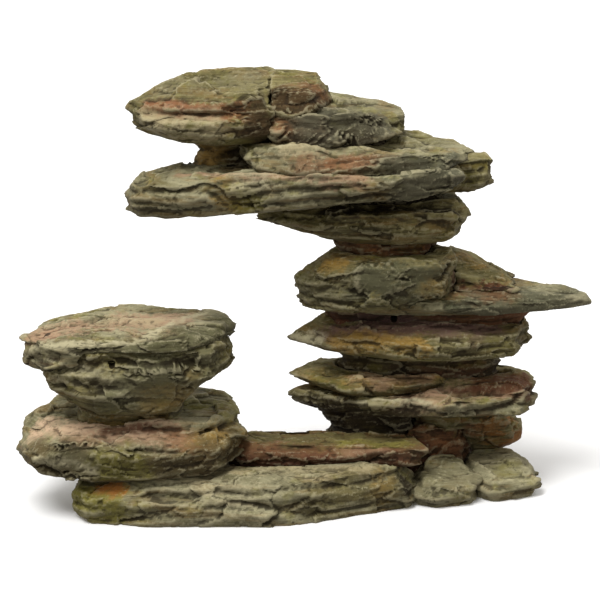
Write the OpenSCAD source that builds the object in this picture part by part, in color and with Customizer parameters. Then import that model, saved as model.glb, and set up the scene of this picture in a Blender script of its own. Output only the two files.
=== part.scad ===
// Stacked-slate resin ornament for an aquarium.
// Each stone is its own casting. Stones are bonded one on another: a bed piece is keyed into the stone below
// and the stone above it, and glass-fibre rods run up through the two stacks and into the top boulder.
// +X right, +Y back, +Z up, origin at the middle of the footprint on the floor.

/* [Overall] */
// Width over the left boulder and the long right tip
overall_w = 318; // [240:1:400]

/* [Slate surface] */
// Thickness of one slate layer moulded into the sides of a stone
layer_t = 5.5; // [5:0.5:9]
// Deepest step between one layer and the next
layer_step = 1.8; // [0.4:0.1:2.4]

/* [Bonding] */
// Adhesive film between two castings
bond = 0.15; // [0.1:0.05:0.3]
// Diameter of the glass-fibre rods
rod_d = 6; // [4:0.5:7]

/* [Hollow castings] */
// Diameter of the vent holes that let a hollow stone flood
vent_d = 3; // [2:0.5:4]
// Wall left around the hollow inside of a stone
wall = 9; // [7:0.5:10]

/* [Hidden] */
$fn = 48;

// The tables below are drawn for a width of 318 mm and scaled by this.
k = overall_w / 318;
rod_fit = 0.1;      // radial room for adhesive round a rod
layer_gap = 0.35;   // half the height of the slope between two layers
edge_steps = 3;     // points along each edge of a plan outline

// Colours of the paint on the stones
olive = "#76745a";
grey = "#8a8a74";
rust = "#7d5a44";
moss = "#6a6a3c";
shade = "#3a3524";
fibre = "#d9d6c4";

// Plan outlines in a unit box, anticlockwise from the left end: u runs left to right, v front to back.
BLUNT = [[0, .42], [.06, .14], [.26, 0], [.6, .03], [.9, .12], [1, .46], [.94, .82], [.6, 1], [.13, .93]];
CHIP = [[0, .5], [.1, .16], [.38, 0], [.68, .07], [.93, .2], [1, .6], [.8, .92], [.45, 1], [.12, .85]];
BAR = [[0, .36], [.05, .12], [.22, .02], [.5, 0], [.84, .04], [1, .22], [.98, .8], [.6, 1], [.08, .88]];
LEFT_POINT = [[0, .52], [.12, .26], [.3, .08], [.62, 0], [.92, .1], [1, .5], [.95, .86], [.58, 1],
    [.16, .84]];
RIGHT_POINT = [[0, .4], [.05, .1], [.3, 0], [.58, .05], [.86, .3], [1, .52], [.8, .8], [.44, 1], [.05, .88]];
TWO_POINT = [[0, .5], [.16, .2], [.4, 0], [.7, .02], [.93, .2], [1, .55], [.9, .86], [.5, 1], [.16, .76]];
BASE_PLAN = [[0, .23], [.04, .08], [.18, 0], [.61, 0], [.79, .23], [.97, .42], [1, .8], [.58, 1], [.06, .95]];
CAP_PLAN = [[0, .4], [.05, .14], [.25, 0], [.6, .03], [.88, .14], [1, .55], [.95, .9], [.6, 1], [.28, 1],
    [.08, .8]];
BEAM = [[0, .4], [.04, .15], [.2, .02], [.55, 0], [.86, .03], [1, .22], [.98, .86], [.6, 1], [.28, .8],
    [.05, .68]];
LEFT_HALF = [[0, .5], [.1, .24], [.3, .05], [.6, 0], [.97, .06], [1, .4], [.98, .94], [.5, 1], [.15, .84]];
RIGHT_HALF = [[0, .5], [.02, .06], [.3, 0], [.6, .05], [.86, .3], [1, .55], [.86, .86], [.44, 1], [.02, .95]];

// Where the rods stand: [x, y, lower end, upper end]
column_rod = [45, 22, 8, 184];
left_rod = [-95, -12, 14, 98];
summit_rod = [-42, 10, 176, 224];

// A stone is [plan outline, x where its heights are measured, seed, levels], and a level is
// [height, left, right, front, back, slope], with slope in mm of rise per mm to the right.
FRONT_SLAB = [BASE_PLAN, -36, 11, [
    [0, -125, 67, -65, 8, 0], [6, -128, 66, -65, 8, 0], [14, -130, 62, -64, 8, .01],
    [19, -130, 60, -60, 8, .03], [23.5, -124, 56, -50, 8, .04]]];
REAR_SLAB = [BAR, 0, 12, [
    [22, -46, 66, -30, 5, 0], [27, -47, 68, -31, 6, 0], [31, -46, 68, -29, 6, -.01],
    [34.5, -43, 64, -25, 5, -.02]]];
HEEL = [BLUNT, 45, 13, [
    [0, 15, 96, 6, 62, 0], [10, 13, 98, 2, 65, 0], [24, 14, 98, 4, 63, 0], [33, 15, 93, 7, 56, 0]]];
RIGHT_FRONT = [CHIP, 80, 14, [
    [0, 61, 97, -32, 6, 0], [4, 59, 98, -34, 9, 0], [9, 60, 98, -32, 9, 0], [13, 63, 95, -24, 9, 0],
    [17, 68, 90, -10, 8, 0]]];
RIGHT_END = [CHIP, 110, 15, [
    [0, 94, 130, -19, 27, 0], [5, 91, 133, -20, 28, 0], [9, 90, 132, -17, 28, 0], [13, 90, 126, -6, 28, 0],
    [16, 92, 117, 6, 27, 0]]];
LOBE = [BLUNT, 95, 16, [
    [15.5, 84, 116, 26, 48, 0], [20, 80, 121, 22, 51, 0], [26, 66, 123, 16, 52, 0],
    [33, 63, 121, 12, 52, 0], [40, 64, 113, 12, 50, 0], [47, 64, 111, 12, 48, 0]]];
LOWER_LEDGE_BOTTOM = [LEFT_POINT, 45, 17, [
    [43, 6, 116, -4, 48, 0], [46.5, -8, 125, -13, 49, 0], [50.5, -10, 132, -20, 50, -.02],
    [56, -4, 132, -20, 50, -.03], [60, 6, 131, -12, 49, -.01], [64, 18, 124, 0, 46, -.01]]];
LOWER_LEDGE_TOP = [TWO_POINT, 45, 18, [
    [57, 0, 70, -8, 46, -.03], [61, -11, 80, -13, 47, -.04], [63.5, -6, 84, -10, 46, -.04],
    [67, 12, 80, -2, 42, -.04]]];
MIDDLE_LEDGE = [TWO_POINT, 45, 19, [
    [78.5, 12, 120, -8, 44, -.01], [81.5, 0, 126, -17, 47, -.01], [85.5, -10, 128, -21, 49, -.01],
    [90, -5, 126, -20, 49, -.02], [94, 4, 127, -14, 48, -.03], [98, 10, 127, -4, 46, -.03]]];
TIP = [RIGHT_POINT, 45, 20, [
    [103.5, 34, 150, -6, 40, 0], [106, 28, 163, -16, 44, 0], [110, 28, 164, -19, 44, 0],
    [114, 29, 158, -14, 44, -.01], [117, 32, 136, -2, 42, -.01]]];
BLOCK = [BLUNT, 40, 21, [
    [107, 4, 82, -13, 30, 0], [111, -3, 85, -22, 33, 0], [119, -6, 85, -25, 32, 0],
    [126, -5, 85, -25, 32, 0], [132, 2, 86, -24, 33, 0], [138, 12, 84, -18, 33, 0]]];
HUMP = [BAR, 84, 22, [
    [117.2, 78, 124, -4, 46, 0], [121, 78, 124, -4, 46, -.1], [126, 78, 118, 4, 46, -.26],
    [131.5, 78, 112, 14, 44, -.36]]];
CAPITAL = [LEFT_POINT, 45, 23, [
    [144.5, 6, 76, -8, 42, 0], [148, -2, 86, -14, 43, 0], [152, -18, 92, -18, 45, 0],
    [156, -31, 93, -19, 45, 0], [161, -22, 90, -18, 45, 0], [165, -4, 88, -16, 44, .01]]];
END_TAB = [BAR, 85, 24, [
    [171, 62, 103, 8, 42, 0], [177, 60, 105, 7, 43, 0], [187.5, 62, 105, 10, 42, 0]]];
CANTILEVER = [BEAM, 0, 25, [
    [169.5, -84, 74, -26, 40, .1], [174, -99, 84, -36, 45, .09], [180, -103, 88, -38, 46, .07],
    [185, -98, 88, -38, 42, .04], [190, -72, 85, -36, 32, .01]]];
CANTILEVER_TOP = [BLUNT, 0, 26, [
    [190, -34, 86, -34, 36, .01], [195, -38, 93, -33, 37, -.02], [199, -37, 93, -28, 36, -.04],
    [202.5, -33, 90, -18, 31, -.05]]];
BOULDER = [LEFT_HALF, -55, 27, [
    [204, -74, -24, -16, 28, 0], [207, -89, -19, -24, 36, 0], [211, -95, -18, -27, 39, 0],
    [217, -99, -18, -26, 40, 0], [218.5, -100, -18, -21, 40, 0], [222, -99, -18, -18, 41, 0],
    [224, -96, -18, -21, 41, 0], [228, -86, -18, -14, 42, 0], [232, -74, -18, -2, 42, 0],
    [235, -62, -18, 12, 42, 0], [237, -54, -20, 22, 40, 0]]];
BACK_STONE = [RIGHT_HALF, -5, 28, [
    [217, -21, 11, -9, 36, 0], [223, -21, 14, -11, 40, 0], [227, -21, 14, -6, 41, 0],
    [231, -21, 12, 4, 41, 0], [235, -21, 8, 16, 40, 0]]];
WEDGE = [RIGHT_HALF, 12, 29, [
    [203, -18, 48, -15, 32, 0], [207.5, -21, 54, -21, 37, -.02], [212, -21, 57, -19, 40, -.05],
    [216, -21, 56, -10, 40, -.08], [221, -21, 53, 6, 40, -.11]]];
LEFT_LOWER = [BLUNT, -95, 30, [
    [20, -138, -56, -50, 14, 0], [26, -152, -42, -60, 21, 0], [32, -161, -33, -64, 28, 0],
    [39, -162, -33, -65, 34, 0], [43, -160, -33, -60, 36, 0], [47, -157, -34, -51, 37, 0],
    [51.5, -136, -40, -46, 35, 0]]];
BELLY = [BLUNT, -95, 31, [
    [57, -128, -67, -44, 16, 0], [61, -129, -66, -52, 20, 0], [66, -135, -62, -57, 23, 0],
    [73, -143, -52, -59, 26, 0], [79, -147, -42, -58, 28, 0], [83, -147, -40, -54, 28, 0],
    [87, -146, -40, -51, 28, 0], [95, -143, -43, -49, 27, 0]]];
CAP = [CAP_PLAN, -95, 32, [
    [82.5, -152, -118, -44, -4, 0], [87, -158, -100, -52, 16, 0], [90.5, -159, -41, -51, 26, 0],
    [95, -158, -37, -53, 28, 0], [98, -152, -38, -48, 28, 0], [100.5, -136, -48, -38, 26, 0]]];

// A bed is [plan outline, seed, lower end, upper end, foot box, head box, waist], and a box is
// [left, right, front, back].
LEFT_FOOT_BED = [BLUNT, 41, 14, 25, [-124, -56, -46, 0], [-120, -60, -44, 2], 1];
LEFT_NECK = [BLUNT, 42, 44, 62, [-126, -68, -38, 12], [-126, -69, -41, 14], 1];
COLUMN_FOOT = [BLUNT, 43, 29, 49, [12, 62, 1, 46], [8, 62, 0, 47], 1];
LOWER_NECK = [BLUNT, 44, 63, 82, [17, 112, 6, 38], [16, 112, 6, 40], 1];
VENT_BED = [BAR, 45, 88, 109, [13, 121, 4, 41], [9, 128, 4, 43], .5];
CAPITAL_NECK = [BLUNT, 46, 132, 149, [20, 73, -5, 29], [17, 73, -3, 34], 1];
THROAT_BED = [BAR, 47, 161, 183, [6, 80, 8, 38], [4, 82, 10, 40], 1];
SUMMIT_NECK = [CHIP, 48, 184, 210, [-63, -24, -4, 28], [-64, -22, -6, 30], 2];
WEDGE_BED = [CHIP, 49, 197, 208, [18, 46, -2, 26], [18, 48, -4, 30], 1];

function mix(a, b, t) = a * (1 - t) + b * t;

// The plan outline with extra points along its edges.
function edge_points(plan) = [for (i = [0:len(plan) - 1]) for (j = [0:edge_steps - 1])
    mix(plan[i], plan[(i + 1) % len(plan)], j / edge_steps)];

// How far each point of one layer is set in from the outline, in mm: a share for the whole layer, broad
// lumps and a fine jitter.
function insets(plan, seed) = let (
    whole = rands(0, 1, 1, seed)[0],
    lumps = rands(0, 1, len(plan), seed + 1),
    jitter = rands(0, .3, len(plan) * edge_steps, seed + 2))
    [for (i = [0:len(plan) - 1]) for (j = [0:edge_steps - 1])
        layer_step * (.35 * whole + .35 * mix(lumps[i], lumps[(i + 1) % len(plan)], j / edge_steps)
            + jitter[i * edge_steps + j])];

// One ring of a stone: the outline in the level's box, pulled towards the middle by the insets and put on
// the level's sloping plane.
function ring(stone, level, lift, inset) = let (
    centre = [level[1] + level[2], level[3] + level[4]] * k / 2,
    size = [level[2] - level[1], level[4] - level[3]] * k,
    outline = edge_points(stone[0]))
    [for (i = [0:len(outline) - 1]) let (
        out = [(outline[i][0] - .5) * size[0], (outline[i][1] - .5) * size[1]],
        p = centre + out * (1 - inset[i] / norm(out)))
        [p[0], p[1], level[0] * k + lift + level[5] * (p[0] - stone[1] * k)]];

// The layers of a stone as pairs of levels, each about layer_t high.
function layers(levels) = [for (i = [0:len(levels) - 2])
    let (n = max(1, round((levels[i + 1][0] - levels[i][0]) * k / layer_t)))
    for (j = [0:n - 1]) [mix(levels[i], levels[i + 1], j / n), mix(levels[i], levels[i + 1], (j + 1) / n)]];

// Two rings a layer, with a short slope between one layer and the next.
function stone_rings(stone) = let (pairs = layers(stone[3]), last = len(pairs) - 1)
    [for (s = [0:last]) let (
        inset = insets(stone[0], stone[2] * 100 + s * 3),
        lift = [s == 0 ? 0 : layer_gap, s == last ? 0 : -layer_gap])
        for (end = [0, 1]) ring(stone, pairs[s][end], lift[end], inset)];

function mean(points) = [for (a = [0:2]) [for (p = points) p[a]] * [for (p = points) 1] / len(points)];

// A closed solid through the rings, with a fan over each end.
module loft(rings) {
    n = len(rings[0]);
    top = len(rings) - 1;
    points = concat([for (r = rings) for (p = r) p], [mean(rings[0]), mean(rings[top])]);
    sides = [for (r = [0:top - 1]) for (i = [0:n - 1]) let (a = r * n + i, b = r * n + (i + 1) % n)
        each [[a, a + n, b + n], [a, b + n, b]]];
    ends = [for (i = [0:n - 1]) let (j = (i + 1) % n)
        each [[len(points) - 2, i, j], [len(points) - 1, top * n + j, top * n + i]]];
    polyhedron(points, concat(sides, ends), convexity = 6);
}

module stone(s) loft(stone_rings(s));

// A bed's levels: straight where it is keyed in at each end, and drawn in at the waist.
function bed_stone(b) = let (z0 = b[2], z1 = b[3], w = b[6], draw = [w, -w, w, -w]) [b[0], 0, b[1], [
    for (step = [[0, b[4]], [.25, b[4]], [.5, (b[4] + b[5]) / 2 + draw], [.75, b[5]], [1, b[5]]])
        concat([mix(z0, z1, step[0])], step[1], [0])]];

module bed(b) stone(bed_stone(b));

// The space that a piece with this plan and box takes up between two heights, with room for adhesive.
module pocket(plan, box, z0, z1) {
    size = [box[1] - box[0], box[3] - box[2]] * k + [2 * bond, 2 * bond];
    middle = [box[0] + box[1], box[2] + box[3]] * k / 2;
    translate([middle[0], middle[1], z0 * k])
        linear_extrude((z1 - z0) * k)
            polygon([for (p = edge_points(plan)) [(p[0] - .5) * size[0], (p[1] - .5) * size[1]]]);
}

key_reach = 30; // how far a key's pocket is cut past the face that it enters

module foot_pocket(b) translate([0, 0, -bond]) pocket(b[0], b[4], b[2], b[2] + key_reach);
module head_pocket(b) translate([0, 0, bond]) pocket(b[0], b[5], b[3] - key_reach, b[3]);

module rod(r) translate([r[0], r[1], r[2]] * k) cylinder(h = (r[3] - r[2]) * k, d = rod_d);
module rod_bore(r) translate([r[0] * k, r[1] * k, r[2] * k - bond])
    cylinder(h = (r[3] - r[2]) * k + 2 * bond, d = rod_d + 2 * rod_fit);

// A vent hole through the front wall of a hollow stone.
module vent(x, z, front, back) translate([x, front, z] * k) rotate([-90, 0, 0])
    cylinder(h = (back - front) * k, d = vent_d);

// The hollow inside of a casting: its own plan, one wall inside a box.
module hollow(plan, box, z0, z1) pocket(plan, box + [wall, -wall, wall, -wall] / k, z0, z1);

// ---- Base ----
module front_slab() color(olive) difference() {
    stone(FRONT_SLAB);
    pocket(REAR_SLAB[0], [-47, 68, -31, 6], 22 - bond, 40);
    pocket(HEEL[0], [13, 98, 2, 65], -1, 40);
    pocket(RIGHT_FRONT[0], [59, 98, -34, 9], -1, 40);
    foot_pocket(LEFT_FOOT_BED);
    hollow(BASE_PLAN, [-124, 60, -64, 8], -5, 10);
}
module rear_slab() color(rust) difference() {
    stone(REAR_SLAB);
    pocket(HEEL[0], [13, 98, 2, 65], 0, 40);
    foot_pocket(COLUMN_FOOT);
}
module heel_stone() color(rust) difference() {
    stone(HEEL);
    foot_pocket(COLUMN_FOOT);
    rod_bore(column_rod);
}
module right_front_stone() color(grey) difference() {
    stone(RIGHT_FRONT);
    pocket(HEEL[0], [13, 98, 2, 65], -1, 30);
}
module right_end_stone() color(grey) difference() {
    stone(RIGHT_END);
    pocket(RIGHT_FRONT[0], [59, 98, -34, 9], -1, 30);
    pocket(HEEL[0], [13, 98, 2, 65], -1, 30);
}

// ---- Left stack ----
module left_foot_bed() color(shade) difference() {
    bed(LEFT_FOOT_BED);
    rod_bore(left_rod);
}
module left_lower_boulder() color(grey) difference() {
    stone(LEFT_LOWER);
    head_pocket(LEFT_FOOT_BED);
    foot_pocket(LEFT_NECK);
    rod_bore(left_rod);
}
module left_neck() color(moss) difference() {
    bed(LEFT_NECK);
    rod_bore(left_rod);
}
module left_belly_stone() color(olive) difference() {
    stone(BELLY);
    head_pocket(LEFT_NECK);
    hollow(BLUNT, [-140, -48, -42, 26], 70, 100);
    vent(-106, 88.5, -60, -30);
    rod_bore(left_rod);
}
module left_cap_slab() color(grey) difference() {
    stone(CAP);
    pocket(BELLY[0], [-147, -40, -52, 28], 60, 95 + bond);
    rod_bore(left_rod);
}

// ---- Column ----
module column_foot() color(shade) difference() {
    bed(COLUMN_FOOT);
    rod_bore(column_rod);
}
module foot_lobe_stone() color(moss) difference() {
    stone(LOBE);
    pocket(HEEL[0], [13, 98, 2, 65], 0, 33 + bond);
    pocket(RIGHT_END[0], [90, 133, -20, 28], 0, 15 + bond);
    pocket(COLUMN_FOOT[0], [8, 62, 0, 47], 29, 50);
}
module lower_ledge_bottom_leaf() color(olive) difference() {
    stone(LOWER_LEDGE_BOTTOM);
    pocket(LOWER_LEDGE_TOP[0], [-11, 84, -13, 47], 57, 80);
    head_pocket(COLUMN_FOOT);
    foot_pocket(LOWER_NECK);
    pocket(LOBE[0], [63, 123, 12, 52], 30, 47 + bond);
    rod_bore(column_rod);
}
module lower_ledge_top_leaf() color(rust) translate([0, 0, bond]) difference() {
    stone(LOWER_LEDGE_TOP);
    foot_pocket(LOWER_NECK);
    rod_bore(column_rod);
}
module lower_neck() color(shade) difference() {
    bed(LOWER_NECK);
    rod_bore(column_rod);
}
module middle_ledge() color(olive) difference() {
    stone(MIDDLE_LEDGE);
    head_pocket(LOWER_NECK);
    foot_pocket(VENT_BED);
    rod_bore(column_rod);
}
module vent_bed() color(rust) difference() {
    bed(VENT_BED);
    hollow(BAR, [11, 121, 5, 43], 95, 112);
    vent(50, 101, 0, 24);
    rod_bore(column_rod);
}
module tip_slab() color(grey) difference() {
    stone(TIP);
    head_pocket(VENT_BED);
    rod_bore(column_rod);
}
module upper_ledge_block() color(olive) difference() {
    stone(BLOCK);
    head_pocket(VENT_BED);
    pocket(TIP[0], [28, 164, -19, 44], 100, 117 + bond);
    foot_pocket(CAPITAL_NECK);
    rod_bore(column_rod);
}
module upper_ledge_hump() color(moss) difference() {
    stone(HUMP);
    pocket(BLOCK[0], [-6, 86, -25, 33], 110, 150);
}
module capital_neck() color(rust) difference() {
    bed(CAPITAL_NECK);
    rod_bore(column_rod);
}
module capital_slab() color(olive) difference() {
    stone(CAPITAL);
    head_pocket(CAPITAL_NECK);
    foot_pocket(THROAT_BED);
    rod_bore(column_rod);
}

// ---- Cantilever and summit ----
module throat_bed() color(shade) difference() {
    bed(THROAT_BED);
    pocket(END_TAB[0], [60, 105, 7, 43], 171 - bond, 190);
    rod_bore(column_rod);
}
module end_tab() color(moss) stone(END_TAB);
module cantilever_slab() color(grey) difference() {
    stone(CANTILEVER);
    head_pocket(THROAT_BED);
    pocket(END_TAB[0], [60, 105, 7, 43], 160, 187.5 + bond);
    foot_pocket(SUMMIT_NECK);
    rod_bore(column_rod);
    rod_bore(summit_rod);
}
module cantilever_top_leaf() color(grey) translate([0, 0, bond]) difference() {
    stone(CANTILEVER_TOP);
    foot_pocket(SUMMIT_NECK);
    foot_pocket(WEDGE_BED);
}
module summit_neck() color(moss) difference() {
    bed(SUMMIT_NECK);
    rod_bore(summit_rod);
}
module summit_boulder() color(olive) difference() {
    stone(BOULDER);
    head_pocket(SUMMIT_NECK);
    rod_bore(summit_rod);
}
module summit_back_stone() color(moss) difference() {
    stone(BACK_STONE);
    pocket(BOULDER[0], [-100, -18, -27, 42], 190, 240);
}
module summit_wedge() color(rust) difference() {
    stone(WEDGE);
    head_pocket(WEDGE_BED);
    pocket(BOULDER[0], [-100, -18, -27, 42], 190, 240);
    pocket(BACK_STONE[0], [-21, 14, -11, 41], 217 - bond, 240);
}
module wedge_bed() color(shade) bed(WEDGE_BED);

front_slab();
rear_slab();
heel_stone();
right_front_stone();
right_end_stone();
left_foot_bed();
left_lower_boulder();
left_neck();
left_belly_stone();
left_cap_slab();
column_foot();
foot_lobe_stone();
lower_ledge_bottom_leaf();
lower_ledge_top_leaf();
lower_neck();
middle_ledge();
vent_bed();
tip_slab();
upper_ledge_block();
upper_ledge_hump();
capital_neck();
capital_slab();
throat_bed();
end_tab();
cantilever_slab();
cantilever_top_leaf();
summit_neck();
summit_boulder();
summit_back_stone();
summit_wedge();
wedge_bed();
color(fibre) rod(column_rod);
color(fibre) rod(left_rod);
color(fibre) rod(summit_rod);
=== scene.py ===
import math

import bmesh
import bpy
import numpy as np
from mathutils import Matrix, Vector


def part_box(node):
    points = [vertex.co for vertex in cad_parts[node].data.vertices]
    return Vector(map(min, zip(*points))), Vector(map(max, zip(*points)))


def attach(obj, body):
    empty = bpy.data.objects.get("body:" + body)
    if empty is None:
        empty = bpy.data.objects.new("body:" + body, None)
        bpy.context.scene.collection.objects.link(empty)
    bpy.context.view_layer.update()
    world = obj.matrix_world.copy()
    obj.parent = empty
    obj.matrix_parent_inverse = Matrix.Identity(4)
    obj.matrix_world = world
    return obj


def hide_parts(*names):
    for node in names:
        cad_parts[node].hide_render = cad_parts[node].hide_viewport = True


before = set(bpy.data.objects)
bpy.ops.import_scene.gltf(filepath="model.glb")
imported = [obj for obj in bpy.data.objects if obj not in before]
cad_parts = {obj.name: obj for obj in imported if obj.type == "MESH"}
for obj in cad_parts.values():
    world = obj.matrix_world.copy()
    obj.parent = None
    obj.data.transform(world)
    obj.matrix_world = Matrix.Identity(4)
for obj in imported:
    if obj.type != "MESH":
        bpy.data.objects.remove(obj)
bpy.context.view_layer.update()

MM = 0.001

# ---- Camera and studio ----
# A long lens a little above the ornament looks straight at its front, as in a catalogue shot. The floor is
# plain and pale, a broad soft light stands above the front left, and a weaker one behind on the right.
CAMERA_HEIGHT_DEG = 15
CAMERA_DISTANCE = 2.0
LENS_MM = 214.3
FILM_WIDTH_MM = 36
LOOK_AT = Vector((-2.8, 0, 111.8)) * MM
camera = bpy.data.objects.new("camera", bpy.data.cameras.new("camera"))
camera.data.lens = LENS_MM
camera.data.sensor_width = FILM_WIDTH_MM
tilt = math.radians(CAMERA_HEIGHT_DEG)
camera.location = LOOK_AT + CAMERA_DISTANCE * Vector((0, -math.cos(tilt), math.sin(tilt)))
camera.rotation_euler = (math.pi / 2 - tilt, 0, 0)
bpy.context.scene.collection.objects.link(camera)
bpy.context.scene.camera = camera
bpy.context.scene.view_settings.view_transform = "Standard"


def soft_light(name, direction, spread_deg, strength):
    """A broad, far light that shines along a direction."""
    lamp = bpy.data.lights.new(name, "SUN")
    lamp.angle = math.radians(spread_deg)
    lamp.energy = strength
    light = bpy.data.objects.new(name, lamp)
    light.rotation_euler = Vector(direction).to_track_quat("-Z", "Y").to_euler()
    bpy.context.scene.collection.objects.link(light)


soft_light("key_light", (0.3, 0.36, -0.9), 30, 2.45)
soft_light("back_light", (-0.5, -0.7, -0.6), 40, 0.4)
world = bpy.data.worlds.new("studio")
bpy.context.scene.world = world
world.use_nodes = True
sky = world.node_tree.nodes["Background"]
sky.inputs["Color"].default_value = (1, 0.98, 0.95, 1)
sky.inputs["Strength"].default_value = 0.75


def floor_paint():
    material = bpy.data.materials.new("floor_paint")
    material.use_nodes = True
    shader = material.node_tree.nodes["Principled BSDF"]
    shader.inputs["Base Color"].default_value = (0.93, 0.93, 0.93, 1)
    shader.inputs["Roughness"].default_value = 0.8
    return material


bpy.ops.mesh.primitive_plane_add(size=8, location=(0, 0, 0))
floor = bpy.context.object
floor.name = "studio_floor"
floor.data.materials.append(floor_paint())
floor.visible_diffuse = False


# ---- Front slab of the base ----
# The long front stone of the base, cast in resin from a mould taken off split slate and open underneath.
# The slate's layers run nearly level along it. Thin washes of paint settle in the layers, and the raised
# edges are dry-brushed pale.
GRAIN = 0.9           # size of the squares of a stone's surface, mm
GROOVE_KEPT = 0.75    # share of a groove's depth that the mould keeps
FLAT_REACH = 7        # how far from its plane a broken face still takes points, mm
FLAT_RAGGED = 0.7     # how ragged the outline of a broken face is
PAST_CAST = 2         # how far a stone may pass its casting's box before it is pressed back, mm
PRESSED_BACK = 0.75   # share of what is past that which is taken off


class Wire:
    """A node's output that Python operators build on, in a material or a Geometry Nodes tree."""

    def __init__(self, tree, socket=None):
        self.tree = tree
        self.socket = socket

    def node(self, kind, settings=(), inputs=(), output=0):
        """Adds a node of any type: its settings first, then the values or wires of its inputs."""
        made = self.tree.nodes.new(kind)
        for key, value in dict(settings).items():
            setattr(made, key, value)
        for key, value in dict(inputs).items():
            if isinstance(value, Wire):
                self.tree.links.new(value.socket, made.inputs[key])
            else:
                made.inputs[key].default_value = value
        return Wire(self.tree, made.outputs[output])

    def _operate(self, operation, first, second):
        kinds = [w.socket.type for w in (first, second) if isinstance(w, Wire)]
        if "VECTOR" in kinds or "RGBA" in kinds or tuple in (type(first), type(second)):
            spread = [(v, v, v) if isinstance(v, (int, float)) else v for v in (first, second)]
            return self.node("ShaderNodeVectorMath", {"operation": operation}, {0: spread[0], 1: spread[1]})
        return self.node("ShaderNodeMath", {"operation": operation}, {0: first, 1: second})

    def __add__(self, other):
        return self._operate("ADD", self, other)

    def __radd__(self, other):
        return self._operate("ADD", other, self)

    def __sub__(self, other):
        return self._operate("SUBTRACT", self, other)

    def __rsub__(self, other):
        return self._operate("SUBTRACT", other, self)

    def __mul__(self, other):
        return self._operate("MULTIPLY", self, other)

    def __rmul__(self, other):
        return self._operate("MULTIPLY", other, self)

    def __truediv__(self, other):
        return self._operate("DIVIDE", self, other)

    def ramp(self, low, high):
        """0 at low and 1 at high, with a smooth ease between."""
        return self.node("ShaderNodeMapRange", {"interpolation_type": "SMOOTHSTEP"},
                         {"Value": self, "From Min": low, "From Max": high})

    def part(self, axis):
        """One number of a vector."""
        return self.node("ShaderNodeSeparateXYZ", {}, {0: self}, axis)

    def noise(self, detail=2.0, roughness=0.5, output=0):
        """Cloud noise at this place, one lump a unit."""
        return self.node("ShaderNodeTexNoise", {}, {"Vector": self, "Scale": 1.0, "Detail": detail,
                                                    "Roughness": roughness}, output)


def mixed(amount, first, second):
    """first where amount is 0 and second where it is 1, for colours."""
    wire = next(w for w in (amount, first, second) if isinstance(w, Wire))
    tones = [(*t, 1) if isinstance(t, tuple) else t for t in (first, second)]
    return wire.node("ShaderNodeMix", {"data_type": "RGBA"}, {0: amount, 6: tones[0], 7: tones[1]}, 2)


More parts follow.
